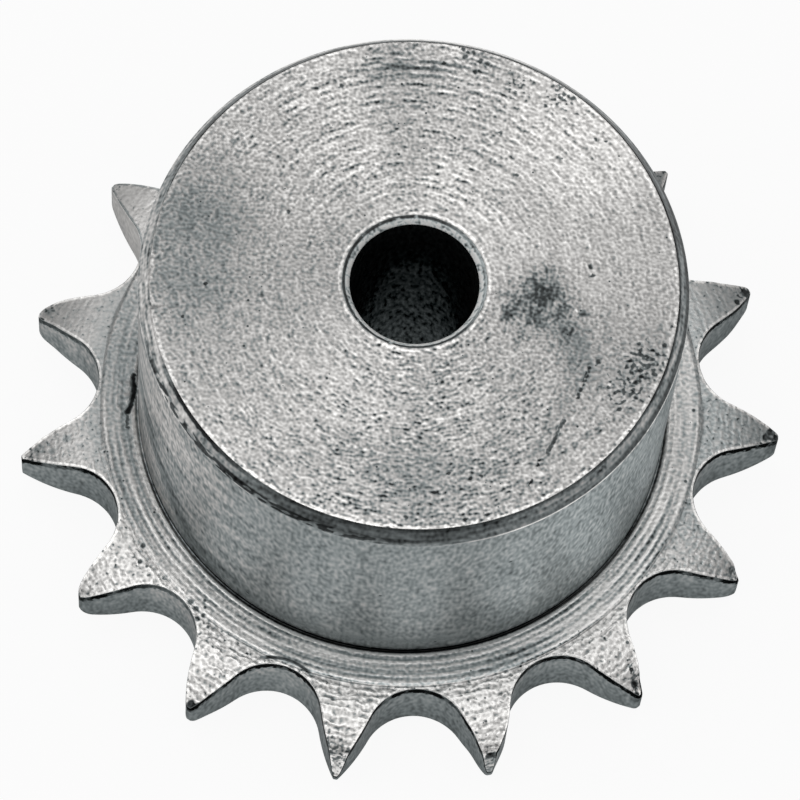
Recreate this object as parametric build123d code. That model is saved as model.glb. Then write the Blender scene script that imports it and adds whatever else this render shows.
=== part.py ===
"""Chain sprocket for a 9.525 mm (3/8 inch) simplex roller chain, turned from one steel bar.

A toothed plate carries a plain round hub on one side, and a pilot bore runs through both.
Millimetres. +Z is the bore axis, the plate lies on z = 0 with the hub standing up from it,
and one tooth is centred on +X.
"""
from build123d import *
from math import atan2, cos, degrees, radians, sin, sqrt
import os

# Chain
PITCH = 9.525              # from one chain roller to the next
ROLLER_DIA = 6.35
TEETH = 15

# Teeth
ROOT_CLEARANCE = 0.08      # the gaps are cut this much deeper than the rollers reach
SEAT_CLEARANCE = 0.175     # between a roller and the curve it sits in
SEAT_ANGLE = 120.0         # how far round the roller that curve goes
FLANK_RADIUS = 17.5        # the convex side of a tooth, from the roller seat to the tip
TIP_LAND = 0.24            # what the two sides leave between them at the tip
TIP_ROUNDING = 0.12        # on the two corners of that land

# Toothed plate
PLATE_THICKNESS = 5.3
TIP_THICKNESS = 2.4        # both faces curve in towards the tips, so that the chain runs on freely
RELIEF_RADIUS = 10.6       # of those curves
RELIEF_STEP = 0.06         # small turned step on the hub side, where the curve begins

# Hub
HUB_DIA = 34.0
OVERALL_LENGTH = 25.0      # plate and hub together
HUB_EDGE_WIDTH = 0.68      # chamfer round the end of the hub, across the face
HUB_EDGE_HEIGHT = 1.05     # the same chamfer, down the side
FOOT_GROOVE_WIDTH = 0.25   # left by the corner of the tool where the hub meets the plate
FOOT_GROOVE_DEPTH = 0.15

# Bore
BORE_DIA = 8.0
BORE_CHAMFER = 0.4

SAME = 1e-3                # lengths and places closer than this count as the same

HALF_TOOTH_ANGLE = 180 / TEETH
PITCH_RADIUS = PITCH / 2 / sin(radians(HALF_TOOTH_ANGLE))
ROOT_RADIUS = PITCH_RADIUS - ROLLER_DIA / 2 - ROOT_CLEARANCE
SEAT_RADIUS = ROLLER_DIA / 2 + SEAT_CLEARANCE
SEAT_CENTRE = Vector(ROOT_RADIUS + SEAT_RADIUS, 0)
HUB_RADIUS = HUB_DIA / 2
BORE_RADIUS = BORE_DIA / 2
UPPER_RELIEF_Z = PLATE_THICKNESS - RELIEF_STEP
RELIEF_DEPTH = (UPPER_RELIEF_Z - TIP_THICKNESS) / 2


def polar(radius, angle):
    """A point at this distance and direction (degrees) from the axis."""
    return Vector(radius * cos(radians(angle)), radius * sin(radians(angle)))


# The seat of the gap on +X ends in this direction from its centre, and the flank goes on from
# there as an arc whose centre lies further out on the same line.
SEAT_END = 180 - SEAT_ANGLE / 2
FLANK_CENTRE = SEAT_CENTRE + polar(SEAT_RADIUS + FLANK_RADIUS, SEAT_END)


def flank_tip():
    """Where the flank comes within half the tip's land of the tooth's centre line."""
    along = polar(1, HALF_TOOTH_ANGLE)
    across = polar(1, HALF_TOOTH_ANGLE + 90)
    drop = FLANK_CENTRE.dot(across) + TIP_LAND / 2
    reach = FLANK_CENTRE.dot(along) + sqrt(FLANK_RADIUS**2 - drop**2)
    return along * reach - across * (TIP_LAND / 2)


FLANK_TIP = flank_tip()
TIP_RADIUS = FLANK_TIP.length
RELIEF_WIDTH = sqrt(2 * RELIEF_RADIUS * RELIEF_DEPTH - RELIEF_DEPTH**2)
RELIEF_START = TIP_RADIUS - RELIEF_WIDTH


def revolved(*outline):
    """Turn a closed section, drawn as radius and height, round the axis."""
    edges = [Plane.XZ * edge for line in outline for edge in line.edges()]
    return revolve(make_face(edges), Axis.Z)


def plate():
    """The toothed plate before its gaps are cut, with both faces relieved towards the rim."""
    sweep = degrees(atan2(RELIEF_WIDTH, RELIEF_RADIUS - RELIEF_DEPTH))
    lower_centre = (RELIEF_START, RELIEF_RADIUS)
    upper_centre = (RELIEF_START, UPPER_RELIEF_Z - RELIEF_RADIUS)
    lower_relief = CenterArc(lower_centre, RELIEF_RADIUS, -90, sweep)
    upper_relief = CenterArc(upper_centre, RELIEF_RADIUS, 90, -sweep)
    rim = Line(lower_relief @ 1, upper_relief @ 1)
    flat = Polyline(
        (RELIEF_START, UPPER_RELIEF_Z),
        (RELIEF_START, PLATE_THICKNESS),
        (0, PLATE_THICKNESS),
        (0, 0),
        (RELIEF_START, 0),
    )
    return revolved(lower_relief, rim, upper_relief, flat)


def hub():
    return revolved(Polyline(
        (0, 0),
        (HUB_RADIUS, 0),
        (HUB_RADIUS, OVERALL_LENGTH - HUB_EDGE_HEIGHT),
        (HUB_RADIUS - HUB_EDGE_WIDTH, OVERALL_LENGTH),
        (0, OVERALL_LENGTH),
        (0, 0),
    ))


def foot_groove():
    """The ring of metal that the corner of the tool takes out round the foot of the hub."""
    groove_floor = PLATE_THICKNESS - FOOT_GROOVE_DEPTH
    return revolved(Polyline(
        (HUB_RADIUS, groove_floor),
        (HUB_RADIUS + FOOT_GROOVE_WIDTH / 2, groove_floor),
        (HUB_RADIUS + FOOT_GROOVE_WIDTH, PLATE_THICKNESS),
        (HUB_RADIUS, PLATE_THICKNESS),
        (HUB_RADIUS, groove_floor),
    ))


def bore():
    """The pilot bore with the chamfer at each mouth."""
    mouth = BORE_RADIUS + BORE_CHAMFER
    return revolved(Polyline(
        (0, 0),
        (mouth, 0),
        (BORE_RADIUS, BORE_CHAMFER),
        (BORE_RADIUS, OVERALL_LENGTH - BORE_CHAMFER),
        (mouth, OVERALL_LENGTH),
        (0, OVERALL_LENGTH),
        (0, 0),
    ))


def tooth_gap():
    """The cutter for one gap, centred on +X: a roller seat and two flanks tangent to it."""
    to_tip = FLANK_TIP - FLANK_CENTRE
    flank_start = SEAT_END - 180
    flank_sweep = degrees(atan2(to_tip.Y, to_tip.X)) - flank_start
    seat = CenterArc(SEAT_CENTRE, SEAT_RADIUS, SEAT_END, SEAT_ANGLE)
    flank = CenterArc(FLANK_CENTRE, FLANK_RADIUS, flank_start, flank_sweep)
    outside = FLANK_TIP * ((TIP_RADIUS + ROLLER_DIA) / TIP_RADIUS)
    side = Line(FLANK_TIP, outside)
    lid = Line(outside, (outside.X, -outside.Y))
    other_side = mirror(flank + side, Plane.XZ)
    outline = make_face(seat + flank + side + lid + other_side)
    return extrude(outline, PLATE_THICKNESS)


def is_tip_corner(edge):
    """True for the upright edges on both sides of a tooth's tip."""
    low, high = edge @ 0, edge @ 1
    upright = edge.geom_type == GeomType.LINE and Vector(low.X - high.X, low.Y - high.Y).length < SAME
    return upright and abs(Vector(low.X, low.Y).length - TIP_RADIUS) < SAME


def sprocket():
    gap = tooth_gap()
    gaps = [Rot(0, 0, (2 * index + 1) * HALF_TOOTH_ANGLE) * gap for index in range(TEETH)]
    toothed_plate = plate() - gaps
    tip_corners = [edge for edge in toothed_plate.edges() if is_tip_corner(edge)]
    rounded_plate = fillet(tip_corners, min(TIP_ROUNDING, TIP_LAND / 2))
    return rounded_plate + hub() - foot_groove() - bore()


os.makedirs("parts", exist_ok=True)
export_step(sprocket(), "parts/sprocket.step")
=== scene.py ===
"""Chain sprocket: the looks of the toothed plate, its hub and its bore.

The whole part is one piece of steel, so it is one closed mesh. Its section line is drawn ring by
ring, one surface of the part after the other, and a tree of Geometry Nodes turns the line round
the bore and lets its outer rings follow the teeth. Knocks then move the points of that mesh.
"""
import math

import bpy
import numpy as np
from mathutils import Matrix, Vector
from mathutils.kdtree import KDTree


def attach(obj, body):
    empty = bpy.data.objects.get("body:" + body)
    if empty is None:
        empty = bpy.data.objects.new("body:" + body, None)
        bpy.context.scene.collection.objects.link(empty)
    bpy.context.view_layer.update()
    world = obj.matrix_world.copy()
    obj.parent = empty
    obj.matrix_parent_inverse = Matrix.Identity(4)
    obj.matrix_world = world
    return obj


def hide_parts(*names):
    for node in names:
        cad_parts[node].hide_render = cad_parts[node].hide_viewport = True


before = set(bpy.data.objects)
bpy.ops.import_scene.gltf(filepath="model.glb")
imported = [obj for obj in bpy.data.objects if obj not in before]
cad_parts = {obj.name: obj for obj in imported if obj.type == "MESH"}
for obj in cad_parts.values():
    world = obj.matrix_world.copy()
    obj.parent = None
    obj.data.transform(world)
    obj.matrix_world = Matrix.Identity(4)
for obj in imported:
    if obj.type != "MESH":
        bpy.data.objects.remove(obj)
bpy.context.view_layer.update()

# Underside ---------------------------------------------------------
# The flat face that the part stands on, bare steel turned square to the bore in one light cut.
# It keeps the fine rings of that cut, a few scuffs and a little oil.

MM = 0.001
BORE_RADIUS = 4.0
BORE_CHAMFER = 0.4
mouth = BORE_RADIUS + BORE_CHAMFER
GUARD = 0.07               # between a level face and the rounding of its edge
DRY_LIT_TINT = (1.016, 1.002, 0.982, 1)        # the warm tint of dry steel in the light, a painted light
OIL_SHADE_TINT = (0.93, 1.03, 1.045, 1)         # and the cool tint of oiled steel and of painted shade


class Value:
    """A number or direction in a node tree. Sums on it add the tree's Math nodes."""

    def __init__(self, nodes, socket):
        self.nodes = nodes
        self.socket = socket

    def math(self, operation, *others):
        return self.nodes.math(operation, self, *others)

    def __add__(self, other):
        return self.math("ADD", other)

    __radd__ = __add__

    def __mul__(self, other):
        return self.math("MULTIPLY", other)

    __rmul__ = __mul__

    def __sub__(self, other):
        return self.math("SUBTRACT", other)

    def __rsub__(self, other):
        return self.nodes.math("SUBTRACT", other, self)

    def __truediv__(self, other):
        return self.math("DIVIDE", other)

    def __rtruediv__(self, other):
        return self.nodes.math("DIVIDE", other, self)

    def __pow__(self, other):
        return self.math("POWER", other)

    def above(self, other):
        return self.math("GREATER_THAN", other)

    def within(self, low, high):
        return self.math("MAXIMUM", low).math("MINIMUM", high)

    def fade(self, start, end):
        """0 before start and 1 after end, with a smooth rise between them."""
        sockets = {"Value": self, "From Min": start, "From Max": end}
        return self.nodes.add("ShaderNodeMapRange", sockets, interpolation_type="SMOOTHSTEP")

    def line(self, width):
        """1 where this distance is next to nothing, and 0 beyond half the width."""
        return self.math("ABSOLUTE").fade(width / 2, width * 0.15)


class Nodes:
    """Adds nodes to one tree, emptied first."""

    def __init__(self, tree):
        tree.nodes.clear()
        self.tree = tree

    def add(self, kind, sockets=None, output=0, **settings):
        """Adds a node, then its settings, then the values or links of its sockets."""
        node = self.tree.nodes.new(kind)
        for name, value in settings.items():
            setattr(node, name, value)
        for key, value in (sockets or {}).items():
            if isinstance(value, Value):
                self.tree.links.new(value.socket, node.inputs[key])
            else:
                node.inputs[key].default_value = value
        return Value(self, node.outputs[output]) if node.outputs else None

    def math(self, operation, *values):
        return self.add("ShaderNodeMath", dict(enumerate(values)), operation=operation)

    def vector(self, x, y, z):
        return self.add("ShaderNodeCombineXYZ", {"X": x, "Y": y, "Z": z})

    def split(self, vector):
        """The three numbers of a vector."""
        first = self.add("ShaderNodeSeparateXYZ", {"Vector": vector})
        return [Value(self, socket) for socket in first.socket.node.outputs]


class Finish:
    """One finish of the steel. Lengths are in millimetres, measured on the part itself."""

    def __init__(self, name):
        self.material = bpy.data.materials.new(name)
        self.material.use_nodes = True
        self.nodes = Nodes(self.material.node_tree)
        metres = self.nodes.add("ShaderNodeTexCoord", output="Object")
        self.place = self.scaled(metres, 1 / MM)
        self.x, self.y, self.z = self.nodes.split(self.place)
        self.r = (self.x * self.x + self.y * self.y).math("SQRT")
        self.cosine, self.sine = self.x / self.r, self.y / self.r

    def scaled(self, vector, scale):
        sockets = {"Vector": vector, "Scale": scale}
        return self.nodes.add("ShaderNodeVectorMath", sockets, operation="SCALE")

    def noise(self, vector, detail):
        """Noise in steps of about 1, mostly between -1 and 1."""
        sockets = {"Vector": vector, "Scale": 1, "Detail": detail}
        return self.nodes.add("ShaderNodeTexNoise", sockets) * 4 - 2

    def grain(self, size, detail=0, shift=0, tall=1):
        """Marks of this size that run in no direction, or stand upright if tall is above 1."""
        vector = self.nodes.vector(
            self.x / size + shift, self.y / size, self.z / (size * tall)
        )
        return self.noise(vector, detail)

    def lines(self, across, pitch, length, detail=0, shift=0):
        """Tool marks round the bore, this far apart and this long."""
        vector = self.nodes.vector(self.x / length + shift, self.y / length, across / pitch)
        return self.noise(vector, detail)

    def feed(self, pitch, length, steady=0, shift=0):
        """The rings of a steady feed, in dashes of this length or, as steady nears 1, unbroken."""
        drift = self.lines(self.r, pitch * 4, length * 4, 1, shift)
        wave = (self.r * (math.tau / pitch) + drift * 1.5).math("SINE")
        dashes = self.lines(self.r, pitch * 1.3, length, 0, shift + 5)
        return wave * (dashes * (1 - steady) + steady)

    def around(self, length, shift=0):
        """Marks this long that only change on the way round the bore."""
        vector = self.nodes.vector(self.x / length + shift, self.y / length, 0)
        return self.noise(vector, 1)

    def pits(self, spacing, radius, share, shift=0):
        """1 in round pits of up to this radius, in this share of the cells of a loose pattern."""
        vector = self.nodes.vector(self.x + shift, self.y, 0)
        sockets = {"Vector": vector, "Scale": 1 / spacing}
        distance = self.nodes.add("ShaderNodeTexVoronoi", sockets, voronoi_dimensions="2D")
        colour = Value(self.nodes, distance.socket.node.outputs["Color"])
        chance, size, _ = self.nodes.split(colour)
        reach = (size * 0.6 + 0.4) * (radius / spacing)
        return (1 - distance / reach).fade(0, 0.6) * (share - chance).above(0)

    def distance(self, x, y):
        """How far away this place is, seen from above."""
        across, along = self.x - x, self.y - y
        return (across * across + along * along).math("SQRT")

    def most(self, *masks):
        """The strongest of these masks at each place."""
        total = masks[0]
        for mask in masks[1:]:
            total = total.math("MAXIMUM", mask)
        return total

    def spot(self, x, y, radius, soft=1):
        """1 at a spot of a level face and 0 beyond its radius."""
        return self.distance(x, y).fade(radius, radius * (1 - soft))

    def blots(self, *places):
        """The strongest of these soft spots, each a place, a radius and a strength."""
        return self.most(*[self.spot(*place, radius) * share for *place, radius, share in places])

    def dots(self, places, wobble=0):
        """1 at each of these places of a level face and 0 beyond its radius."""
        return self.most(*[
            self.spot(x + wobble, y + wobble, radius, 0.6) for x, y, radius in places
        ])

    def specks(self, *marks):
        """1 at each of these places and 0 beyond its radius, on a surface of any slope."""
        total = 0
        for x, y, z, radius in marks:
            sockets = {0: self.place, 1: (x, y, z)}
            distance = self.nodes.add(
                "ShaderNodeVectorMath", sockets, output="Value", operation="DISTANCE"
            )
            total = distance.fade(radius, radius * 0.3) + total
        return total.within(0, 1)

    def ring(self, radius, width):
        """1 at this distance from the bore's axis and 0 beyond half the width."""
        return (self.r - radius).line(width)

    def sector(self, degrees, width):
        """1 in this direction from the bore, 0 further than width away from it."""
        turn = math.radians(degrees)
        toward = self.cosine * math.cos(turn) + self.sine * math.sin(turn)
        return toward.fade(math.cos(math.radians(width)), 1)

    def scratch(self, start, end, width, wobble=0):
        """1 along a scratch on a level face, straight but for the wobble."""
        run, rise = end[0] - start[0], end[1] - start[1]
        across, along = self.x - start[0] + wobble, self.y - start[1]
        part = ((across * run + along * rise) / (run * run + rise * rise)).within(0, 1)
        aside, behind = across - part * run, along - part * rise
        return (aside * aside + behind * behind).math("SQRT").line(width)

    def sided(self, base, *sides):
        """A number with more or less of it on some sides: a direction, a width and a change."""
        for degrees, width, change in sides:
            base = self.sector(degrees, width) * change + base
        return base

    def painted_sheen(self, *painted_sheen):
        """Painted light and dark fans of a turned face's sheen, each a direction, a width and a
        change.
        """
        total = 1
        for fan in painted_sheen:
            total = self.sided(1, fan) * total
        return total

    def marked(self, shade, *marks):
        """The shade, darkened by each of these masks to its own depth, or lightened if below 0."""
        for mask, depth in marks:
            shade = shade * (1 - mask * depth)
        return shade

    def read(self, name):
        """A length that the body's own points carry, in millimetres."""
        metres = self.nodes.add("ShaderNodeAttribute", output="Fac", attribute_name=name)
        return metres * (1 / MM)

    def finish(self, shade, lit_from, roughness, height, depth=0.01, stretch=0, grazing=1, metal=1):
        """Ends the material. Shade is how much light the steel gives back, painted light and shade
        included. As it rises to the second number, the tint turns from the cool one of oil and
        painted shade to the warm one of dry lit steel. Height times depth is its relief in mm,
        stretch is how far the tool marks draw a highlight out across them, grazing is what is
        left of the shine when the surface is seen edge on, and metal is its metallic share."""
        sockets = {0: shade.fade(lit_from * 0.4, lit_from), 6: OIL_SHADE_TINT, 7: DRY_LIT_TINT}
        tone = self.nodes.add("ShaderNodeMix", sockets, output=2, data_type="RGBA")
        sockets = {"Distance": depth * MM, "Height": height}
        bump = self.nodes.add("ShaderNodeBump", sockets)
        shader = self.nodes.add("ShaderNodeBsdfPrincipled", {
            "Base Color": self.scaled(tone, shade.within(0, 0.95)),
            "Metallic": metal,
            "Specular Tint": (grazing, grazing, grazing, 1),
            "Roughness": roughness,
            "Anisotropic": stretch,
            "Anisotropic Rotation": 0.25,
            "Normal": bump,
        })
        self.nodes.add("ShaderNodeOutputMaterial", {"Surface": shader})
        return self.material


rows = []                  # the section line: one entry for each ring of points
finishes = []              # the finish of the band that starts at each row
finished = {}              # the material of each finish


def add_rows(finish, *points):
    """Rows of the turned part, each a radius and a height."""
    for radius, height in points:
        rows.append({"radius": radius, "height": height})
        finishes.append(finish)


def add_level(finish, height, *radii):
    """Rows of a level face."""
    add_rows(finish, *[(radius, height) for radius in radii])


def placed(name, data):
    """A new object in the scene."""
    item = bpy.data.objects.new(name, data)
    bpy.context.scene.collection.objects.link(item)
    return item


def spread(start, end, count):
    """Evenly spaced steps from start to end, without the end."""
    return [start + (end - start) * index / count for index in range(count)]


def underside():
    steel = Finish("underside")
    sand = steel.grain(0.25, 1)
    cut = steel.feed(0.5, 1.5)
    cloud = steel.grain(4, 2)
    scuffs = steel.lines(steel.x + steel.y * 0.3, 0.5, 1).fade(0.9, 1.5)
    shade = 0.46 * (1 + sand * 0.3 + cut * 0.5 + cloud * 0.1) * (1 - scuffs * 0.3)
    relief = cut * 0.7 + sand * 0.3 - scuffs
    return steel.finish(shade, lit_from=0.5, roughness=0.4, height=relief, stretch=0.5)


BORE_EDGE = 0.04           # how round the edges of the bore's chamfer are
LEVEL_END = 19.2           # the last ring of points before the teeth
finished["underside"] = underside()
add_level("underside", 0, mouth + BORE_EDGE, mouth + GUARD, 10, LEVEL_END)

# Teeth -------------------------------------------------------------
# Fifteen teeth for 9.525 mm chain, hobbed round the rim of a turned steel disc. Each gap is a
# round roller seat with a convex flank on both sides, both faces curve in towards the tips, and
# the hob has rolled a thin burr up along the upper edges.

PITCH = 9.525
ROLLER_DIA = 6.35
TEETH = 15
ROOT_CLEARANCE = 0.08      # the gaps are cut this much deeper than the rollers reach
SEAT_CLEARANCE = 0.175     # between a roller and the curve it sits in
SEAT_ANGLE = math.radians(120)
FLANK_RADIUS = 17.5
TIP_RADIUS = 24.775
TIP_BLEND = 0.1            # how softly the flanks run into the tip
PLATE_THICKNESS = 5.3
RELIEF_RADIUS = 10.6       # of the curve of both faces towards the tips
RELIEF_START = 19.4855     # how far from the bore's axis that curve begins
RELIEF_STEP = 0.06         # and how far below the upper face
FEED = 0.46                # from one turned ring to the next
EDGE_BREAK = 0.045         # the edges of the teeth are this round
EDGE_WANDER = 0.045        # and this uneven
WANDER_LENGTH = 0.45
WANDER_SEED = 7
BURR = 0.02                # how high it stands
FACE_ROWS = 15
COLUMNS_PER_TOOTH = 70
BUNCHING = 0.72            # how much closer the columns stand at a tip than on average
# What a row says at the teeth, and the unit of each number.
AT_TEETH = {"out": 1, "inset": MM, "up": 1, "rise": MM, "wander": 1}

seat_radius = ROLLER_DIA / 2 + SEAT_CLEARANCE
half_tooth = math.pi / TEETH
pitch_radius = PITCH / 2 / math.sin(half_tooth)
root_radius = pitch_radius - ROLLER_DIA / 2 - ROOT_CLEARANCE
seat_centre = root_radius + seat_radius
seat_end = math.pi - SEAT_ANGLE / 2
flank_x = seat_centre + (seat_radius + FLANK_RADIUS) * math.cos(seat_end)
flank_y = (seat_radius + FLANK_RADIUS) * math.sin(seat_end)
seat_reach = math.atan2(
    seat_radius * math.sin(seat_end), seat_centre + seat_radius * math.cos(seat_end)
)


def add_tooth_rows(finish, *points):
    """Rows that follow the teeth: how far out from the relief's start to the outline, how far in
    from the outline, how far up from the lower face to the upper, how much higher, and how much
    of the edge's unevenness they share."""
    for point in points:
        rows.append({"radius": RELIEF_START, "height": 0, **dict(zip(AT_TEETH, point))})
        finishes.append(finish)


def tooth_flank():
    """Left by the hob: smooth grey, painted dark for the dark reflection, black just under the
    upper edge.
    """
    steel = Finish("tooth_flank")
    sand = steel.grain(0.24, tall=2)
    blotch = steel.grain(1.3, 1, 4, tall=2)
    ragged = steel.grain(0.3, 1, 9)
    below = steel.read("below_edge")
    lit_flank = steel.sector(150, 12)          # one flank painted light
    # A black line just under the upper edge, patchy, and weaker on some flanks.
    patchy = 0.5 + (ragged * 0.4 + blotch).fade(-0.9, -0.1) * 0.5
    patchy = steel.sided(patchy, (228, 9, -0.35), (172, 16, -0.2))
    under_edge_black = (below + ragged * 0.22).fade(0.8, 0.52) * patchy * (1 - lit_flank * 0.75)
    burr = (below + ragged * 0.01).fade(0.035, 0.015)
    ends = steel.specks(
        (24.5, -0.1, 3, 1.3), (-2.8, -24.2, 3.5, 1.2), (22.2, 10.4, 3.3, 1.1),
        (16.5, -18.2, 3.2, 0.9), (22.5, -9.3, 3.9, 0.7), (-11.8, -21.6, 3.6, 0.7),
    )
    # Lighter at one tooth's end, painted light on some sides, and darker towards the bottom.
    bright = 1 + steel.specks((7.4, -23.8, 3.3, 1.2)) * 0.8
    bright = steel.sided(bright, (172, 26, 0.4), (226, 16, 0.3), (216, 8, -0.3), (252, 9, 0.2))
    bright = bright * (0.74 + steel.z.fade(0, 5) * 0.4)
    shade = 0.3 * (1 + sand * 0.26 + blotch * 0.09) * bright
    shade = steel.marked(shade, (under_edge_black, 0.96), (ends, 0.35 - blotch * 0.3))
    # Painted highlights: a light line along the burr, and light on the one flank.
    shade = shade + burr * 0.15 + lit_flank * 0.34
    relief = sand * 0.4 + blotch * 0.3 - under_edge_black * 1.5
    return steel.finish(shade, lit_from=0.62, roughness=0.46, height=relief, grazing=0.3)


RIM_PITS = (               # x, y and radius
    (-15.89, -11.16, 0.26), (-16, -12.23, 0.22), (-15.54, -12.53, 0.14), (-12.58, -14.74, 0.28),
    (-12.18, -15.17, 0.26), (-11.68, -14.59, 0.15), (-11.63, -15.06, 0.15), (-11.72, -15.58, 0.2),
    (-12.05, -15.84, 0.24), (-11.34, -16.34, 0.16), (18.62, -4.09, 0.16), (18.93, 0.9, 0.17),
    (15.38, -15.28, 0.17),
)


def slip(steel):
    """The black arc that a slip of the hob has cut round one gap."""
    arc = (steel.distance(-7.11, -21.87) - 3.8).line(0.36)
    return arc * steel.x.fade(-8.2, -7.4) * steel.x.fade(-4.2, -4.9)


def tip_bruises(steel, ragged, sand):
    """Black marks and worn patches on the tips of the teeth that took the knocks."""
    marks = steel.specks(
        (-12.08, -21.17, 4, 0.4), (-11.6, -21.2, 4, 0.34), (15.75, -16.9, 4.5, 0.26),
        (15.95, -17.8, 4.2, 0.34), (16.23, -17.1, 4.3, 0.26), (16.2, -18.4, 3.95, 0.3),
        (7.51, -23.13, 4, 0.36), (7.81, -22.86, 4.1, 0.26), (7.1, -23.12, 4, 0.28),
        (24.45, -0.1, 4, 0.34), (22.2, 10, 4.2, 0.6), (21.52, 9.08, 4.4, 0.36),
        (20.82, 8.22, 4.6, 0.34), (20.18, 7.54, 4.8, 0.28), (19.64, 6.79, 5, 0.24),
        (18.73, 9.03, 4.9, 0.22), (-20.3, -13.9, 3.9, 0.4), (-23.8, 4.3, 4, 0.5),
    )
    worn = steel.specks(
        (24.15, -0.2, 4.1, 1.1), (22.1, -9.75, 4.22, 0.85), (-23.76, -5.56, 4, 0.8),
    )
    return (
        (marks * 1.5 - ragged * 0.25 - sand * 0.2 - 0.28).fade(0, 0.8),
        (worn * 1.2 - ragged * 0.5 - sand * 0.3 - 0.35).fade(0, 1),
    )


def tooth_face():
    """Turned to its curve with a coarse feed, then scuffed and bruised towards the tips."""
    steel = Finish("tooth_face")
    sand = steel.grain(0.22)
    blotch = steel.grain(0.9, 1, 5)
    ragged = steel.grain(0.3, 1, 2)
    wavy = (steel.r * (math.tau / FEED) + blotch * 2.2 + ragged * 0.9).math("SINE")
    feed = wavy * (steel.lines(steel.r, 0.5, 0.8) * 0.4 + 0.65)
    busy = steel.sided(0.4, (264, 96, 0.6), (350, 34, 0.22), (158, 26, -0.1))
    grainy = sand * steel.sided(0.34, (228, 24, 0.08))
    fed = feed * steel.sided(0.16, (288, 46, 0.32))
    texture = 1 + (grainy + fed) * busy + blotch * 0.07

    edge = steel.read("from_edge")
    burr = (edge + ragged * 0.04).fade(0.24, 0.12) * (ragged + blotch).fade(-1.2, 0)
    mottled = steel.most(
        steel.specks((-2.8, -24.4, 4.3, 2.6), (16.2, -17.6, 4.3, 0.9)),
        steel.specks((-23.3, 5.3, 4.3, 1.3)) * 0.5,
        steel.r.fade(23, 24.6) * 0.6,
    )
    spotted = mottled * 1.1 - ragged * 0.85 - sand * 0.5 + feed * 0.3
    spotted = (spotted - 0.55).fade(0, 1)
    marks, worn = tip_bruises(steel, ragged, sand)
    smears = steel.specks(
        (-21.38, -4.07, 4.9, 0.42), (-22.2, -4.91, 4.6, 0.36), (-23.1, -4.7, 4.4, 0.5),
        (-22.16, -3.6, 4.6, 0.3), (-23.3, 5, 4.2, 0.5), (-22.8, 3.99, 4.4, 0.3),
    ) * (0.55 - ragged * 0.4)
    nick = steel.scratch((6.9, -23.14), (7.92, -22.82), 0.34, ragged * 0.05)
    chips = steel.scratch((15.62, -16.4), (16.32, -18.6), 0.36, ragged * 0.16)
    chips = chips * (ragged + sand * 0.6).fade(-0.5, 0.3)
    facet = steel.spot(7.3, -23.6, 1.1, soft=0.1) * steel.r.fade(24.15, 24.25)
    pits = steel.most(steel.pits(1.3, 0.1, 0.12), steel.dots(RIM_PITS))
    second_line = steel.ring(20.2, 0.14) * steel.around(4).fade(-0.4, 0.6)
    second_line = second_line * steel.sector(275, 80)
    # A dark line along the step to the teeth, strongest at the front: painted shade.
    foot_line = steel.ring(RELIEF_START, 0.16) * steel.around(3, 8).fade(-1.3, 0)
    foot_line = foot_line * steel.sided(0.05, (275, 80, 0.95))

    # Painted light and shade: each tooth lighter or darker by the way it faces, and darker near the
    # plate on the left.
    tone = steel.painted_sheen(
        (356, 50, -0.32), (178, 42, -0.34), (290, 20, 0.2), (144, 14, 0.1), (322, 22, 0.24),
        (240, 40, -0.05), (48, 10, -0.35), (178, 50, steel.r.fade(21.2, 19.5) * -0.2),
    )
    tone = steel.marked(
        tone, (pits, 0.85), (second_line, 0.4), (foot_line, 0.6), (spotted, 0.78), (smears, 0.7),
        (marks, 0.88), (worn, 0.75), (facet, 0.5), (chips, 0.85), (nick, 0.92),
        (slip(steel), 0.92),
    )
    curl = steel.specks(
        (-12.05, -20.7, 4.15, 0.3), (15.97, -17.36, 4.3, 0.26), (-23.2, 5.9, 4.2, 0.5),
    )
    # Painted highlight on the burr along the edges: strongest on two sides, none on the facet, and
    # dark instead at 144 degrees.
    shine = steel.sided(0.8 - facet * 0.8, (144, 12, -1.3))
    burr_highlight = burr * steel.sided(0, (200, 22, 0.26), (338, 26, 0.26))
    shade = 0.69 * texture.within(0.06, 2.2) * tone
    shade = shade * (1 + burr * shine + curl * 0.8) + burr_highlight
    # The teeth on the right and at 144 degrees take more of the cool tint of painted shade.
    lit_tint_from = steel.sided(0.5, (5, 66, 0.2), (144, 16, 0.12))
    relief = feed * busy * 1.2 + sand * 0.7 * busy - marks
    return steel.finish(shade, lit_from=lit_tint_from, roughness=0.42, height=relief, depth=0.012, stretch=0.3)


finished["flank"] = tooth_flank()
finished["tooth"] = tooth_face()
add_tooth_rows(
    "underside", *[(out, 0, 0, 0, 0) for out in spread(0, 1, 5)], (1, EDGE_BREAK * 3, 0, 0, 0)
)
add_tooth_rows(
    "flank",
    (1, EDGE_BREAK, 0, 0, 0.4),
    (1, EDGE_BREAK * 0.3, 0, EDGE_BREAK * 0.3, 0.4),
    (1, 0, 0, EDGE_BREAK, 0.4),
    (1, 0, 0, EDGE_BREAK * 3, 0),
    *[(1, 0, up, 0, 0) for up in (0.25, 0.5, 0.75, 0.9)],
    (1, 0, 1, -EDGE_BREAK * 3.4, 0.2),
    (1, 0, 1, -EDGE_BREAK * 1.6, 0.7),
    (1, EDGE_BREAK * 0.2, 1, -EDGE_BREAK * 0.4, 1),
)
add_tooth_rows(
    "tooth",
    (1, EDGE_BREAK * 0.8, 1, BURR, 1),
    (1, EDGE_BREAK * 1.8, 1, BURR * 0.7, 0.7),
    (1, EDGE_BREAK * 3, 1, 0, 0.3),
    *[(n / FACE_ROWS, EDGE_BREAK * 3 * n / FACE_ROWS, 1, 0, 0) for n in reversed(range(FACE_ROWS))],
)

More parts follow.
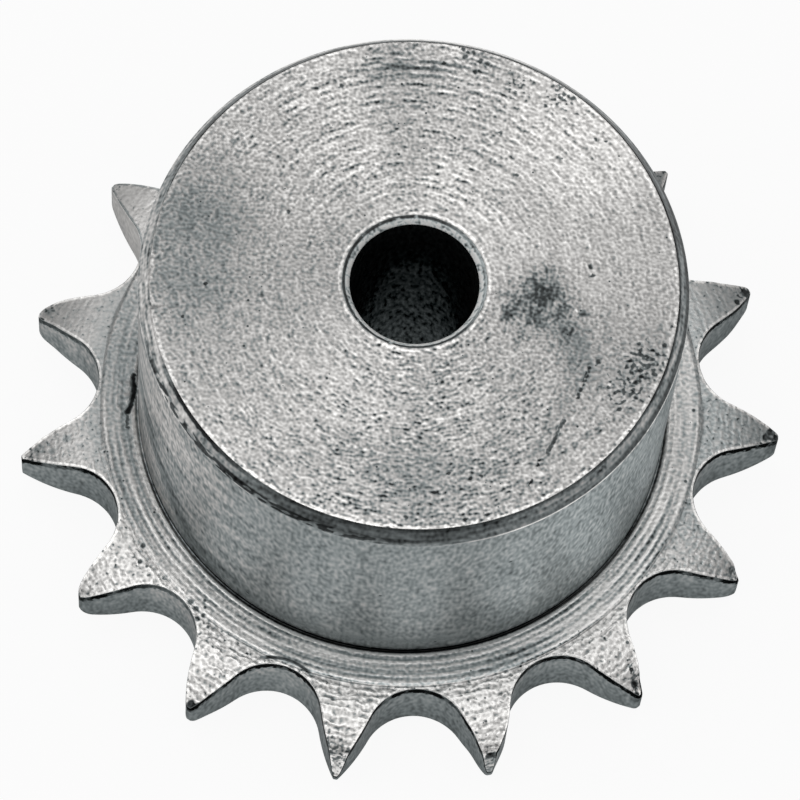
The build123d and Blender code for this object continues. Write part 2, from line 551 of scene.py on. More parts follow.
# Plate -------------------------------------------------------------
# The level ring between the teeth and the hub. The turning tool has left it in narrow bright and
# dark rings, and a knock has gouged it at the hub's foot. The sharp corner there is painted dark
# as shade, and the ring is painted lighter and darker by direction.

HUB_RADIUS = 17.0
FOOT_GROOVE_WIDTH = 0.25
FOOT_GROOVE_DEPTH = 0.15
GOUGE = ((-17.37, 0.54), (-17.32, -0.86), (-17.61, -2.07), (-17.5, -3.1))   # x and y along it
groove_floor = PLATE_THICKNESS - FOOT_GROOVE_DEPTH
groove_middle = HUB_RADIUS + FOOT_GROOVE_WIDTH / 2
groove_rim = HUB_RADIUS + FOOT_GROOVE_WIDTH


def plate_ring():
    steel = Finish("plate_ring")
    sand = steel.grain(0.24)
    cut = steel.lines(steel.r, 0.24, 5)
    wave = (steel.r * (math.tau / FEED) + steel.around(9) * 0.8 + 3.4).math("SINE")
    blotch = steel.grain(1.2, 1, 8)
    crisp = steel.sided(0.13, (238, 40, 0.24), (314, 40, 0.26))
    turned = 1 + sand * 0.28 + cut * (crisp * 1.2 + 0.04) + wave * crisp + blotch * 0.06
    shade = 0.66 * turned.within(0.1, 2)
    # Turned rings, lighter and darker, strongest at the front; the last, along the step to the
    # teeth, is painted shade.
    for radius, width, change in (
        (17.7, 0.2, -0.42), (17.95, 0.2, 0.34), (18.62, 0.2, -0.45), (19.48, 0.12, -0.6),
    ):
        lasting = steel.around(6, radius).fade(-1.2, 0.5) * steel.sided(0.1, (275, 88, 0.9))
        shade = shade * (1 + steel.ring(radius, width) * lasting * change)

    inner = steel.sided(steel.r + 0.1, (272, 60, -0.1))
    foot_light = (inner - 17.38).math("ABSOLUTE").fade(0.19, 0.08)
    foot_light = foot_light * steel.around(3, 2).fade(-1.6, 0)
    foot_light = foot_light * steel.sided(0.34, (222, 46, 0.95), (316, 46, 0.95))
    # Painted shade in the sharp corner at the hub's foot, darkest at the front and none on the far
    # left.
    corner_shade = (inner + blotch * 0.01).fade(HUB_RADIUS + 0.22, HUB_RADIUS + 0.14)
    corner_shade = corner_shade * (1 - steel.sector(180, 24))
    dark_line = steel.ring(17.82, 0.26) * steel.sector(200, 16)
    soft_bands = steel.lines(steel.r, 0.9, 7, 1, 2) * steel.sector(190, 60)
    pits = steel.most(steel.pits(1.1, 0.11, 0.12), steel.dots(RIM_PITS))
    wobble = blotch * 0.08 + sand * 0.05
    gouge = steel.most(
        steel.scratch(GOUGE[0], GOUGE[1], 0.5, wobble),
        steel.scratch(GOUGE[1], GOUGE[2], 0.5, wobble),
        steel.scratch(GOUGE[2], GOUGE[3], 0.26, wobble) * 0.7,
    )
    shade = shade * (1 + foot_light) * (1 + soft_bands * 0.34)
    # Painted light and shade by direction: darker on the left and right, a little lighter at the
    # front right.
    shade = shade * steel.painted_sheen((180, 50, -0.51), (275, 30, -0.03), (2, 34, -0.17), (318, 26, 0.1))
    shade = steel.marked(
        shade, (corner_shade, steel.sided(0.5, (280, 82, 0.485))), (slip(steel), 0.92),
        (dark_line, 0.5), (pits, 0.85), (gouge, 0.97),
    )
    # Where it takes the cool tint of oil and painted shade: more at the front, less on the left.
    lit_tint_from = steel.sided(0.62, (292, 55, 0.22), (185, 50, -0.2))
    relief = cut * 0.6 + wave * 0.3 + sand * 0.5 - gouge * 3
    return steel.finish(shade, lit_tint_from, roughness=0.38, height=relief, stretch=0.4, grazing=0.3)


finished["plate"] = plate_ring()
add_level(
    "plate", PLATE_THICKNESS,
    RELIEF_START - GUARD, LEVEL_END, 18.6, 18, 17.5, groove_rim + 0.04,
)
add_rows(
    "plate",
    (groove_rim - 0.02, PLATE_THICKNESS - 0.03),
    (groove_middle + 0.02, groove_floor + 0.02),
    (groove_middle - 0.02, groove_floor),
    (HUB_RADIUS + 0.03, groove_floor),
)

# Hub ---------------------------------------------------------------
# A plain round hub turned in one piece with the plate: a smooth satin side, a narrow chamfer, and
# an end faced in fine rings. It is stained with oil, pitted in places, and scratched once.

OVERALL_LENGTH = 25.0
HUB_EDGE_WIDTH = 0.68      # of the chamfer, across the end
HUB_EDGE_HEIGHT = 1.05     # and down the side
HUB_EDGE_BREAK = 0.04      # how round the edges of that chamfer are
wall_top = OVERALL_LENGTH - HUB_EDGE_HEIGHT
hub_edge = HUB_RADIUS - HUB_EDGE_WIDTH


def hub_side():
    steel = Finish("hub_side")
    sand = steel.grain(0.25, tall=2.3)
    smears = steel.lines(steel.z, 1, 5, 1, 3)
    cloud = steel.grain(3.5, 2)
    leftward = steel.x.fade(-6, -13)
    # A sloping dark band painted on the left of the side: a painted dark reflection.
    sloped = steel.z - (15.3 - (steel.x + 16.8) * 2.05).math("MAXIMUM", 6.6)
    band = (sloped + smears * 0.7).math("ABSOLUTE").fade(2.6, 0.5) * leftward
    # Painted shade: darker towards the foot, and dark in the corner at the foot.
    foot_shade = steel.z.fade(7.6, PLATE_THICKNESS)
    corner_shade = steel.z.fade(PLATE_THICKNESS + 0.16, PLATE_THICKNESS)
    dashes = (smears + sand * 0.6).fade(0.3, 0.9) * steel.z.fade(8.6, 6)
    dashes = dashes * steel.sine.fade(-0.8, -0.95)
    specks = steel.specks(
        (7.11, -15.44, 18.5, 0.18), (-8.98, -14.43, 6.9, 0.18), (-0.68, -16.99, 15, 0.15),
        (3.1, -16.71, 6.6, 0.14), (9.2, -14.3, 12.3, 0.14),
    )
    # Painted light and shade by side: darker at the front, lighter to the front left and right,
    # most high on the left.
    sides = steel.sided(
        1 - steel.sine.fade(-0.75, -0.99) * 0.12, (320, 34, 0.25), (192, 26, 0.28),
        (218, 17, steel.z.fade(13, 18.5) * 0.38),
    )
    grainy = 1 + sand * 0.31 + cloud * 0.07 + smears * (leftward * 0.3 + 0.09)
    shade = steel.marked(
        0.47 * grainy * sides, (band, 0.4), (foot_shade, 0.1),
        (corner_shade, steel.sided(0.98, (180, 24, -0.7))), (specks, 0.7), (dashes, 0.35),
    )
    # Where it takes the cool tint of oil and painted shade: more at the front right.
    lit_tint_from = steel.sided(0.76, (325, 40, 0.4))
    relief = sand * 0.5 + smears * 0.3
    return steel.finish(shade, lit_tint_from, 0.4, relief, depth=0.008, stretch=0.4, grazing=0.3)


def hub_chamfer():
    """Painted dark as its dark reflection, lighter on some sides, black under its upper edge, with
    a painted highlight along the lower.
    """
    steel = Finish("hub_chamfer")
    down = (OVERALL_LENGTH - steel.z) / HUB_EDGE_HEIGHT
    sand = steel.grain(0.24, tall=1.5)
    cut = steel.lines(steel.z, 0.24, 1.8, 0, 2)
    streaks = steel.lines(steel.z, 0.2, 0.7, 0, 6)
    ragged = steel.around(0.45)
    slow = steel.around(4, 5)
    deeper = steel.sector(216, 24) * 0.08
    black = (down + ragged * 0.05).fade(0.22 + deeper, 0.1 + deeper)
    black = black * steel.sided(0.4 + slow * 0.1, (216, 24, 0.6), (0, 80, 0.4)).within(0, 1)
    black = black * (1 - steel.sector(184, 28).fade(0, 0.4) * 0.9)
    lower = steel.sided(0, (232, 50, streaks.fade(-0.5, 0.1) * 1.2), (0, 80, 0.9))
    lower = (lower * down.fade(0.52, 0.7) * down.fade(1, 0.92)).within(0, 1)
    # Painted highlight along the lower edge, on the right.
    bright = (slow + ragged * 0.6).fade(-1.2, 0.2) * down.fade(0.92, 0.97)
    bright = bright * steel.sector(318, 44)
    # Painted light: lighter on the left and right, and on the lower part at the far side and the
    # front.
    light = steel.sided(
        1, (198, 50, 3.2), (330, 50, 1.9), (86, 24, down.fade(0.2, 0.5) * 3),
        (262, 50, down.fade(0.55, 1) * 0.8), (88, 95, down.fade(0.45, 0.7) * 4),
    )
    shade = 0.118 * light * (1 + sand * 0.36 + cut * 0.45).within(0.1, 2)
    shade = steel.marked(shade, (black, 0.95), (lower, 0.85)) + bright * 0.55
    relief = cut * 0.7 + sand * 0.5 - black
    return steel.finish(shade, lit_from=0.5, roughness=0.42, height=relief, stretch=0.3)


END_PITS = (               # x, y and radius
    (-5.37, 12.85, 0.24), (-8.06, 4.05, 0.2), (-12.79, -1.17, 0.17), (-14.02, -3.47, 0.16),
    (5.85, 7.61, 0.19), (10.63, 10.45, 0.2), (11.25, 10.35, 0.14), (10.73, 1.81, 0.26),
    (10.91, 1.24, 0.18), (11.49, -4.48, 0.26), (2.79, -12.5, 0.16), (4.73, -12.55, 0.21),
    (0.37, -15.54, 0.24), (2.06, 15.99, 0.22), (2.38, 15.8, 0.2), (2.7, 15.79, 0.24),
    (2.24, 15.49, 0.22), (3.2, 15.27, 0.24), (3.6, 15.08, 0.26), (0.94, 14.95, 0.2),
    (2.92, 14.5, 0.22), (4.71, 10.42, 0.2), (7.41, 12.53, 0.2), (14.05, -3.53, 0.18),
    (14.45, -3.91, 0.22), (14.81, -3.47, 0.22), (15.05, -3.7, 0.2), (15.5, -3.1, 0.24),
    (15.89, -1.8, 0.14), (13.47, -4.24, 0.18), (13.26, -4.67, 0.2), (13.58, -5.06, 0.22),
    (14.11, -4.85, 0.22), (14.2, -5.26, 0.2), (13.84, -5.7, 0.22), (13.71, -6.21, 0.18),
    (13.88, -6.69, 0.22), (12.93, -7.51, 0.2), (13.37, -5.49, 0.2),
)


def hub_end():
    """Faced in rings that break up into dashes, sandy between them, stained, pitted, scratched."""
    steel = Finish("hub_end")
    sand = steel.grain(0.215)
    rings = steel.feed(0.5, 0.4, 0.1)
    long_rings = steel.feed(0.54, 1.3, 0.3, 3)
    faint_rings = steel.lines(steel.r, 0.3, 4.5, 0, 7)
    cloud = steel.grain(3.2, 2, 3)
    patches = 1 + steel.grain(1.3, 1, 8) * 0.32
    # Painted: the rings show in stronger contrast at the far and near sides, where the light picks
    # them out.
    busy = steel.sine * steel.sine
    far = steel.sector(92, 70)
    rough = sand * steel.sided(0.31 + busy * 0.05, (10, 60, -0.06))
    rough = rough + rings * (busy * 0.42 + 0.22) * (1 - far * 0.5)
    rough = rough + long_rings * (0.1 + far * 0.32)
    rough = rough * patches * (1 + busy * 0.14)
    rough = rough + faint_rings * (0.08 + busy * 0.06) + cloud * 0.05

    outer = steel.r.fade(9, 13)
    # Painted sheen: light and dark fans of the turned face.
    tone = steel.painted_sheen(
        (172, 80, -0.28), (292, 70, -0.21), (280, 75, steel.r.fade(8, 14) * -0.11),
        (92, 70, steel.r.fade(6, 11) * -0.06), (30, 60, steel.r.fade(6, 13) * -0.1),
        (47, 26, outer * 0.36), (133, 36, steel.r.fade(4, 9) * 0.25), (97, 14, -0.15),
        (345, 18, steel.r.fade(9, 11) * -0.22), (174, 18, outer * -0.11),
        (312, 22, outer * 0.1),
    )
    # A soft darker patch on the left.
    left_patch = steel.blots((-13.6, 4, 6, 1), (-13.2, -1.5, 5, 0.8))
    smudge = steel.blots(
        (7.9, -0.2, 3, 1), (6.5, -1.1, 2.1, 0.8), (5.8, -1.7, 1.2, 0.75), (8.9, -1.3, 2.4, 0.75),
        (9.4, -2.6, 2.1, 0.62), (8.2, 1, 1.8, 0.62), (10.4, -1.3, 0.6, 0.8),
        (7.5, -1.7, 2.6, 0.8), (6.2, -0.7, 2.2, 0.66), (6.9, -3, 1.8, 0.55),
    )
    strokes = steel.lines(steel.r, 0.24, 0.6, 0, 2)
    stroked = (smudge * 1.65 + strokes * 0.34 - sand * 0.34 - 0.52).fade(0, 1.3)
    far_band = steel.sector(95, 20) * steel.r.fade(13.4, 14.4) * steel.r.fade(16.1, 15.2)
    far_band = far_band * (long_rings + rings * 0.4 + faint_rings * 0.5).fade(0.5, -0.7)
    trail = steel.most(
        steel.scratch((9.4, -2.6), (10.5, -5.4), 3.4),
        steel.scratch((10.2, -5.6), (8.3, -10.8), 2.2) * 0.9,
    )

    stained = steel.blots(
        (14.4, -4.4, 3, 1), (13.2, -6.2, 2.8, 0.9), (8.6, 13.4, 3, 0.9), (5.6, 13.6, 1.8, 0.8),
    )
    coarse = steel.grain(0.26, 0, 4)
    spotted = (stained * 1.3 - coarse * 0.6 - sand * 0.35 - 1.02).fade(0, 0.5)
    pits = steel.most(
        steel.pits(1.7, 0.12, 0.16), steel.pits(0.9, 0.08, 0.1, 4) * 0.8,
        steel.dots(END_PITS, sand * 0.05),
    )
    wobble = sand * 0.06 + cloud * 0.12
    broken = (rings + sand * 0.8).fade(0.6, -0.6)
    scratch = steel.most(
        steel.scratch((10.95, -4.9), (10.35, -6.9), 0.34, wobble) * broken,
        steel.scratch((9.75, -8.5), (8.72, -10.65), 0.3, wobble) * 0.9,
        steel.scratch((8.3, -11.2), (7.75, -12.9), 0.18, wobble) * broken,
    )
    # Painted highlight: a light line inside the end's outer edge, strongest at the front.
    rim = (steel.r + sand * 0.05).fade(hub_edge - 0.32, hub_edge - 0.19)
    rim = rim * steel.around(1.2).fade(-1, 0.3) * steel.sided(0.4, (285, 115, 0.6))
    # Painted shade of a fine groove round the bore's mouth, darker on the left.
    mouth_groove_shade = steel.ring(mouth, 0.24) * steel.sided(0.75, (170, 90, 0.25))
    lip = steel.ring(mouth + 0.24, 0.24)
    bright = steel.dots(((9.95, -1.27, 0.22), (12.24, -5.91, 0.16)))
    # Among these marks: a darker spot at the far side, painted shade near the front edge, and
    # painted light in front of the bore.
    tone = steel.marked(
        tone, (left_patch, 0.34), (smudge, 0.5), (stroked, 0.8), (far_band, 0.55), (trail, 0.2),
        (steel.spot(-1.1, 13.6, 3.4), 0.16), (steel.spot(0.9, -12.8, 4.5), 0.28),
        (steel.spot(3.4, -8.7, 3), -0.15),
        (spotted, 0.7), (pits, 0.85), (scratch, 0.85), (mouth_groove_shade, 0.85),
    )
    shade = 0.54 * (1 + rough).within(0.08, 2.2) * tone * (1 + rim * 0.8 + lip * 0.6 + bright)
    relief = (rings + long_rings) * 0.7 + faint_rings * 0.4 + sand * 0.6 - scratch * 2
    return steel.finish(shade, lit_from=0.4, roughness=0.42, height=relief, stretch=0.6)


finished["wall"] = hub_side()
finished["edge"] = hub_chamfer()
finished["face"] = hub_end()
heights = (
    groove_floor + 0.03, PLATE_THICKNESS, *spread(PLATE_THICKNESS + 0.4, wall_top - 0.3, 5),
    wall_top - HUB_EDGE_BREAK * 3,
)
add_rows("wall", *[(HUB_RADIUS, height) for height in heights])
add_rows(
    "edge",
    (HUB_RADIUS, wall_top - HUB_EDGE_BREAK),
    (HUB_RADIUS - HUB_EDGE_BREAK * 0.6, wall_top + HUB_EDGE_BREAK),
    (HUB_RADIUS - HUB_EDGE_BREAK * 2, wall_top + HUB_EDGE_BREAK * 3.2),
    (hub_edge + HUB_EDGE_BREAK * 2, OVERALL_LENGTH - HUB_EDGE_BREAK * 3.2),
    (hub_edge + HUB_EDGE_BREAK * 0.6, OVERALL_LENGTH - HUB_EDGE_BREAK),
)
add_level(
    "face", OVERALL_LENGTH, hub_edge - HUB_EDGE_BREAK, hub_edge - GUARD * 2,
    *spread(15.4, mouth + GUARD, 8), mouth + GUARD,
)

# Bore --------------------------------------------------------------
# A plain pilot bore, drilled right through plate and hub. Its wall is painted near black as the
# shade inside it, with a painted arch of light on the far side, and a small bright chamfer is
# turned at each mouth.


def bore_mouth():
    steel = Finish("bore_mouth")
    sand = steel.grain(0.22)
    cut = steel.lines(steel.r, 0.2, 0.6)
    ragged = steel.around(0.5)
    # Painted shade of a fine groove at the chamfer's outer edge, weaker on the right.
    outer = steel.ring(mouth - 0.02, 0.32) * (ragged + 0.3).fade(-1.2, 0)
    outer = outer * steel.sided(1, (12, 60, -0.5))
    smudged = (steel.around(0.3, 4) + cut * 0.7).fade(0.3, 1.2) * steel.sector(95, 80)
    # Painted near white and mostly matt, to show the light the chamfer catches: a painted
    # highlight.
    shade = 0.95 * (1 + sand * 0.5 + cut * 0.4).within(0.1, 1.1)
    shade = steel.marked(shade, (outer, 0.94), (smudged, 0.5))
    relief = cut * 0.6 + sand * 0.4 - outer
    return steel.finish(shade, lit_from=1.2, roughness=0.6, height=relief, metal=0.15)


def bore_wall():
    steel = Finish("bore_wall")
    sand = steel.grain(0.28, 1, tall=2.2)
    # Painted light: the lower part of the far side lighter, in an arch; the rest near black,
    # painted shade.
    lit_arch = (18.7 - (1 - steel.sine) * 19 - steel.z + sand * 0.5).fade(-0.5, 0.6)
    shade = (0.054 + lit_arch * 0.034) * (1 + sand * 0.8).within(0.1, 3)
    return steel.finish(shade, lit_from=0.5, roughness=0.45, height=sand, depth=0.012, grazing=0.3)


finished["mouth"] = bore_mouth()
finished["bore"] = bore_wall()
bore_top = OVERALL_LENGTH - BORE_CHAMFER
add_rows(
    "mouth",
    (mouth + BORE_EDGE, OVERALL_LENGTH),
    (mouth - BORE_EDGE, OVERALL_LENGTH - BORE_EDGE),
    (BORE_RADIUS + BORE_EDGE, bore_top + BORE_EDGE),
)
add_rows("bore", *[(BORE_RADIUS, z) for z in (bore_top - BORE_EDGE, 18, 12, 6)])
add_rows(
    "mouth",
    (BORE_RADIUS, BORE_CHAMFER + BORE_EDGE),
    (BORE_RADIUS + BORE_EDGE, BORE_CHAMFER - BORE_EDGE),
    (mouth - BORE_EDGE, BORE_EDGE),
    (mouth + BORE_EDGE, 0),
)

# Body --------------------------------------------------------------
# The blank is turned from bar, with hub and plate in one piece, then its rim is hobbed. Since
# then it has lain loose among others, which has bruised the tips and nicked the edges.

MERGE_DISTANCE = 0.002     # points closer than this become one
FAR_FROM_EDGE = 5.0        # what the points nearer the bore than the teeth are given


def section_mesh():
    """The section line as a mesh, with what each row does at the teeth in its attributes."""
    mesh = bpy.data.meshes.new("section")
    points = [(row["radius"] * MM, 0, row["height"] * MM) for row in rows]
    mesh.from_pydata(points, [(i, i + 1) for i in range(len(points) - 1)], [])
    for name, unit in AT_TEETH.items():
        attribute = mesh.attributes.new(name, "FLOAT", "POINT")
        attribute.data.foreach_set("value", [row.get(name, 0) * unit for row in rows])
    return mesh


def tooth_outline(given, turn):
    """How far from the bore the teeth reach at this angle from the middle of a gap."""
    cosine, sine = turn.math("COSINE"), turn.math("SINE")
    seat_depth = given["Seat radius"] ** 2 - (given["Seat centre"] * sine) ** 2
    seat = given["Seat centre"] * cosine - seat_depth.math("MAXIMUM", 0).math("SQRT")
    toward = given["Flank centre X"] * cosine + given["Flank centre Y"] * sine
    square = given["Flank centre X"] ** 2 + given["Flank centre Y"] ** 2
    flank_depth = given["Flank radius"] ** 2 - square + toward ** 2
    flank = toward + flank_depth.math("MAXIMUM", 0).math("SQRT")
    crown = flank.math("SMOOTH_MIN", given["Tip radius"], given["Tip blend"])
    return seat + (crown - seat) * turn.above(given["Seat reach"])


def turned_tree():
    """The tree that turns the section line round the bore, and lets it follow the teeth."""
    tree = bpy.data.node_groups.new("turned_and_hobbed", "GeometryNodeTree")
    sizes = {
        "Teeth": TEETH,
        "Columns per tooth": COLUMNS_PER_TOOTH,
        "Seat radius": seat_radius * MM,
        "Seat centre": seat_centre * MM,
        "Seat reach": seat_reach,
        "Flank radius": FLANK_RADIUS * MM,
        "Flank centre X": flank_x * MM,
        "Flank centre Y": flank_y * MM,
        "Tip radius": TIP_RADIUS * MM,
        "Tip blend": TIP_BLEND * MM,
        "Relief radius": RELIEF_RADIUS * MM,
        "Relief start": RELIEF_START * MM,
        "Upper face": (PLATE_THICKNESS - RELIEF_STEP) * MM,
        "Edge wander": EDGE_WANDER * MM,
        "Wander length": WANDER_LENGTH * MM,
        "Seed": WANDER_SEED,
    }
    tree.interface.new_socket("Section", in_out="INPUT", socket_type="NodeSocketGeometry")
    for name, value in sizes.items():
        kind = "NodeSocketInt" if isinstance(value, int) else "NodeSocketFloat"
        tree.interface.new_socket(name, in_out="INPUT", socket_type=kind)
    tree.interface.new_socket("Body", in_out="OUTPUT", socket_type="NodeSocketGeometry")
    nodes = Nodes(tree)
    inputs = nodes.add("NodeGroupInput").socket.node.outputs
    given = {name: Value(nodes, inputs[name]) for name in ("Section", *sizes)}

    row_count = nodes.add(
        "GeometryNodeAttributeDomainSize", {"Geometry": given["Section"]}, component="MESH"
    )
    columns = given["Teeth"] * given["Columns per tooth"]
    grid = nodes.add("GeometryNodeMeshGrid", {
        "Size X": 1, "Size Y": 1, "Vertices X": columns + 1, "Vertices Y": row_count,
    })
    across, along, _ = nodes.split(nodes.add("GeometryNodeInputPosition"))
    around = (across + 0.5) * given["Teeth"]
    row = (along + 0.5) * (row_count - 1)

    def sampled(kind, source):
        """What the section line has here at this row."""
        return nodes.add("GeometryNodeSampleIndex", {
            "Geometry": given["Section"], "Value": source, "Index": (row + 0.5).math("FLOOR"),
        }, data_type=kind)

    def named(kind, name):
        return nodes.add("GeometryNodeInputNamedAttribute", {"Name": name}, data_type=kind)

    drawn = nodes.add("GeometryNodeInputPosition")
    radius, _, height = nodes.split(sampled("FLOAT_VECTOR", drawn))
    out, inset, up, rise, wander = (sampled("FLOAT", named("FLOAT", name)) for name in AT_TEETH)

    gap = around.math("FLOOR")
    place = around - gap - 0.5
    bunched = place + (place * math.tau).math("SINE") * (BUNCHING / math.tau)
    step = math.tau / given["Teeth"]
    angle = (gap + 0.5 + bunched) * step

    def turned(radius, height):
        """The place on this column, this far from the bore's axis and this high."""
        return nodes.vector(radius * angle.math("COSINE"), radius * angle.math("SINE"), height)

    outline = tooth_outline(given, bunched.math("ABSOLUTE") * step)
    final_radius = radius + out * (outline - given["Relief start"]) - inset
    past = (final_radius - given["Relief start"]).math("MAXIMUM", 0)
    curve = given["Relief radius"] - (given["Relief radius"] ** 2 - past ** 2).math("SQRT")
    upper = given["Upper face"] - curve
    toothed = (out + up).above(0)
    final_height = height + toothed * (curve + (upper - curve) * up + rise - height)
    uneven = nodes.add("ShaderNodeTexNoise", {
        "Vector": turned(final_radius, up * given["Wander length"]),
        "W": given["Seed"], "Scale": 1 / given["Wander length"], "Detail": 2,
    }, noise_dimensions="4D")
    moved = (uneven * 2 - 1.25) * wander * given["Edge wander"]
    position = turned(final_radius + moved * 0.5, final_height + moved * up)

    body = grid
    for kind, domain, name, value in (
        ("INT", "FACE", "row", row.math("FLOOR")),
        ("FLOAT", "POINT", "below_edge", toothed * (upper - final_height)),
        ("FLOAT", "POINT", "from_rim", outline - final_radius),
    ):
        sockets = {"Geometry": body, "Name": name, "Value": value}
        body = nodes.add(
            "GeometryNodeStoreNamedAttribute", sockets, data_type=kind, domain=domain
        )
    body = nodes.add("GeometryNodeSetPosition", {"Geometry": body, "Position": position})
    sockets = {"Geometry": body, "Distance": MERGE_DISTANCE * MM}
    body = nodes.add("GeometryNodeMergeByDistance", sockets)
    body = nodes.add("GeometryNodeRealizeInstances", {"Geometry": body})
    for start, finish in enumerate(finishes[:-1]):
        if start == 0 or finish != finishes[start - 1]:
            chosen = {"Selection": named("INT", "row").above(start - 0.5)} if start else {}
            body = nodes.add("GeometryNodeSetMaterial", {
                "Geometry": body, "Material": finished[finish], **chosen,
            })
    nodes.add("NodeGroupOutput", {"Body": body})
    return tree, sizes


tree, sizes = turned_tree()
blank = placed("section", section_mesh())
modifier = blank.modifiers.new("turned", "NODES")
modifier.node_group = tree
for item in tree.interface.items_tree:
    if item.in_out == "INPUT" and item.name in sizes:
        modifier[item.identifier] = sizes[item.name]
graph = bpy.context.evaluated_depsgraph_get()
mesh = bpy.data.meshes.new_from_object(blank.evaluated_get(graph), depsgraph=graph)
bpy.data.objects.remove(blank)
mesh.name = "sprocket_body"
mesh.materials.pop(index=0)            # the grid's own empty slot

points = np.empty(len(mesh.vertices) * 3)
mesh.vertices.foreach_get("co", points)
points = points.reshape(-1, 3) / MM
from_rim = np.empty(len(points))
mesh.attributes["from_rim"].data.foreach_get("value", from_rim)
radii = np.hypot(points[:, 0], points[:, 1])
angles = np.arctan2(points[:, 1], points[:, 0])


def store_distance_from_edge():
    """Stores how far each point of the teeth is from the nearest point of their outline."""
    rim = np.flatnonzero(np.abs(from_rim) < 1e-9)
    rim = rim[np.argsort(angles[rim])]
    outline = points[rim][:, :2]
    ahead = np.roll(outline, -1, axis=0)
    fine = np.concatenate([outline + (ahead - outline) * part for part in spread(0, 1, 8)])
    tree = KDTree(len(fine))
    for index, (x, y) in enumerate(fine):
        tree.insert((x, y, 0), index)
    tree.balance()
    distances = np.full(len(points), FAR_FROM_EDGE)
    for index in np.flatnonzero(radii > RELIEF_START):
        distances[index] = tree.find((*points[index][:2], 0))[2]
    attribute = mesh.attributes.new("from_edge", "FLOAT", "POINT")
    attribute.data.foreach_set("value", distances * MM)


store_distance_from_edge()


def ease(values, start, end):
    """0 before start and 1 after end, with a smooth rise between them."""
    part = np.clip((values - start) / (end - start), 0, 1)
    return part * part * (3 - 2 * part)


def on_tooth(tooth):
    """True for the points of one tooth. Teeth are counted from the one on +X."""
    turn = tooth * math.tau / TEETH
    return np.abs((angles - turn + math.pi) % math.tau - math.pi) < half_tooth


def lean(tooth, amount, start):
    """Bends a tooth's tip sideways, from this radius outwards."""
    turn = tooth * math.tau / TEETH
    share = ease(radii, start, TIP_RADIUS) * on_tooth(tooth) * amount
    points[:, 0] -= share * math.sin(turn)
    points[:, 1] += share * math.cos(turn)


def blunt(tooth, end, soft):
    """Rounds a tooth's tip off, so that it ends at this radius."""
    distance = np.hypot(points[:, 0], points[:, 1])
    over = np.clip(distance - (end - soft), 0, None) * on_tooth(tooth)
    shorter = soft * (1 - np.exp(-over / soft)) - over
    points[:, :2] *= (1 + shorter / distance)[:, None]


def flatten(tooth, start, share):
    """Hammers a tooth's tip thin from above, from this radius outwards."""
    past = np.clip(radii - RELIEF_START, 0, None)
    lower = RELIEF_RADIUS - np.sqrt(RELIEF_RADIUS**2 - past**2)
    thinner = share * ease(radii, start, TIP_RADIUS) * on_tooth(tooth)
    points[:, 2] -= (points[:, 2] - lower) * thinner


def knock(place, reach, move):
    """Pushes what lies round a place, by this much in the middle."""
    distance = np.linalg.norm(points - np.array(place), axis=1)
    share = np.clip(1 - (distance / reach) ** 2, 0, 1) ** 2
    points[:] += share[:, None] * np.array(move)


for tooth, amount, start in ((12, -0.45, 22.4), (1, 0.22, 22.8), (7, 0.2, 23.0), (10, 0.1, 23.2)):
    lean(tooth, amount, start)
for tooth, end, soft in (
    (0, 24.84, 0.5), (1, 24.84, 0.5), (6, 24.88, 0.6), (7, 24.8, 0.9), (9, 24.62, 0.8),
    (10, 24.8, 0.6), (12, 24.8, 0.3), (13, 24.75, 0.3), (14, 25.15, 1.2), (3, 24.86, 0.4),
    (4, 24.84, 0.4),
):
    blunt(tooth, end, soft)
flatten(11, 23.7, 0.75)
flatten(12, 24.0, 0.75)
for place, reach, move in (
    ((16.55, -17.55, 4.2), 0.75, (-0.16, -0.05, -0.22)),
    ((16.65, -18.15, 3.9), 0.45, (-0.12, 0.02, -0.2)),
    ((16.15, -16.95, 4.5), 0.45, (-0.08, -0.02, 0.1)),
    ((7.75, -23.05, 4), 0.6, (-0.14, 0.05, -0.25)),
    ((-11.9, -21.1, 4.2), 0.55, (0.04, 0.06, 0.08)),
    ((-11.75, -21.5, 4), 0.35, (0.05, 0.08, -0.12)),
    ((-23.9, -5.4, 4), 0.45, (0.05, 0.08, -0.12)),
    ((21.9, 9.9, 4.3), 0.6, (-0.1, 0.06, -0.16)),
    ((22.3, -9.7, 4), 0.8, (-0.14, 0.05, -0.14)),
    ((-16.1, -2.9, 24.95), 0.28, (0.08, 0.02, -0.08)),
    ((-17.33, 0.1, 5.3), 0.4, (0, 0, -0.1)),
    ((-17.33, -0.7, 5.3), 0.4, (0, 0, -0.12)),
    ((-17.5, -1.6, 5.3), 0.35, (0, 0, -0.1)),
):
    knock(place, reach, move)
mesh.vertices.foreach_set("co", (points * MM).ravel())
mesh.update()
mesh.shade_smooth()
body = placed("sprocket_body", mesh)
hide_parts("sprocket")
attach(body, "root")

# Studio ------------------------------------------------------------
# A white paper floor, a wide soft lamp overhead, and pale walls that get darker to the right.

LAMP_PLACE = Vector((-0.07, 0.05, 0.6))
LAMP_AIM = Vector((0, 0, 0.01))
LAMP_SIZE = 0.5
LAMP_POWER = 0.95          # watts
FLOOR_SIZE = 2.0
FLOOR_Z = -5e-5            # just clear of the underside
FLOOR_WHITE = 0.92         # how much of what the lens and the steel see of the floor is plain white

lamp_data = bpy.data.lights.new("lamp_top", "AREA")
lamp_data.size = LAMP_SIZE
lamp_data.energy = LAMP_POWER
lamp = placed("lamp_top", lamp_data)
lamp.location = LAMP_PLACE
lamp.rotation_euler = (LAMP_AIM - LAMP_PLACE).to_track_quat("-Z", "Y").to_euler()

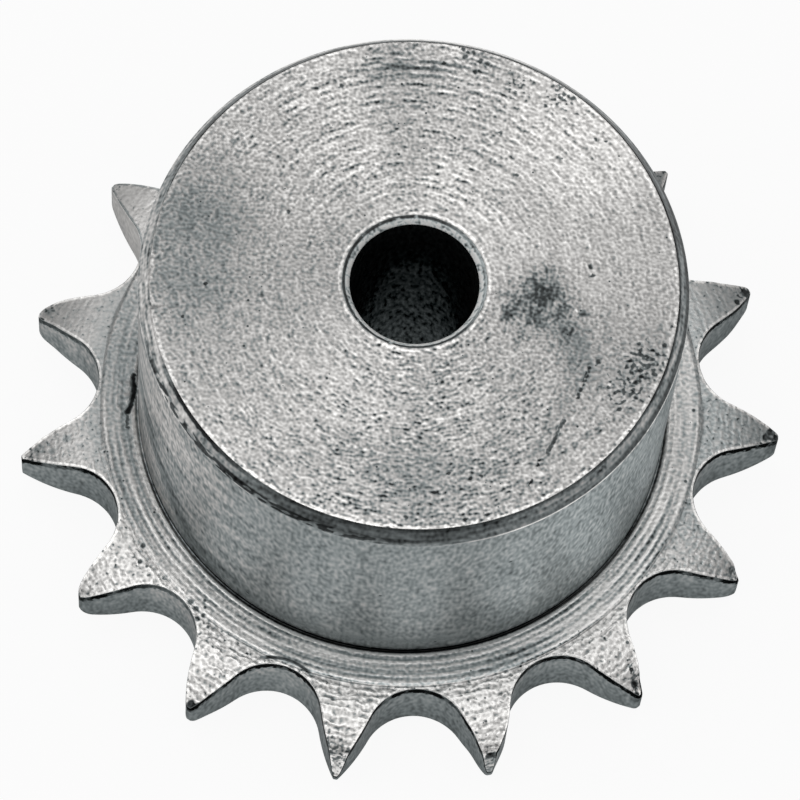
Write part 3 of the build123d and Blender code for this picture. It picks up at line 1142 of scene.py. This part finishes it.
floor_mesh = bpy.data.meshes.new("floor")
sides = ((-1, -1), (1, -1), (1, 1), (-1, 1))
corners = [(x * FLOOR_SIZE, y * FLOOR_SIZE, FLOOR_Z) for x, y in sides]
floor_mesh.from_pydata(corners, [], [(0, 1, 2, 3)])
floor = placed("floor", floor_mesh)
paper = bpy.data.materials.new("paper")
paper.use_nodes = True
sheet = Nodes(paper.node_tree)
sockets = {"Base Color": (0.9, 0.9, 0.9, 1), "Roughness": 0.9}
lit = sheet.add("ShaderNodeBsdfPrincipled", sockets)
white = sheet.add("ShaderNodeEmission")
seen = sheet.add("ShaderNodeLightPath", output="Is Camera Ray")
mirrored = Value(sheet, seen.socket.node.outputs["Is Glossy Ray"])
seen = seen.math("MAXIMUM", mirrored) * FLOOR_WHITE
shown = sheet.add("ShaderNodeMixShader", {0: seen, 1: lit, 2: white})
sheet.add("ShaderNodeOutputMaterial", {"Surface": shown})
floor_mesh.materials.append(paper)

world = bpy.data.worlds.new("studio")
world.use_nodes = True
sky = Nodes(world.node_tree)
rightward, _, upward = sky.split(sky.add("ShaderNodeTexCoord", output="Generated"))
level = 0.3 + upward.fade(0.4, 1.0) * 0.33 - rightward * 0.11
background = sky.add("ShaderNodeBackground", {"Color": (1, 1, 1, 1), "Strength": level})
sky.add("ShaderNodeOutputWorld", {"Surface": background})
bpy.context.scene.world = world

# Camera ------------------------------------------------------------
# It looks down at the hub's end from the front, a little turned about its own axis.

CAMERA_TURN = -2.269       # degrees, as are the next two
CAMERA_ELEVATION = 67.709
CAMERA_ROLL = 6.218
CAMERA_DISTANCE = 350.37
CAMERA_AIM = (-0.103, 0.134)
CAMERA_LENS = 243.58

turn = Matrix.Rotation(math.radians(CAMERA_TURN), 4, "Z")
tilt = Matrix.Rotation(math.radians(90 - CAMERA_ELEVATION), 4, "X")
roll = Matrix.Rotation(math.radians(CAMERA_ROLL), 4, "Z")
facing = turn @ tilt @ roll
offset = facing @ Vector((*CAMERA_AIM, CAMERA_DISTANCE))
place = (offset + Vector((0, 0, PLATE_THICKNESS))) * MM
camera_data = bpy.data.cameras.new("camera")
camera_data.lens = CAMERA_LENS
camera = placed("camera", camera_data)
camera.matrix_world = Matrix.Translation(place) @ facing
bpy.context.scene.camera = camera
bpy.context.scene.view_settings.view_transform = "Standard"
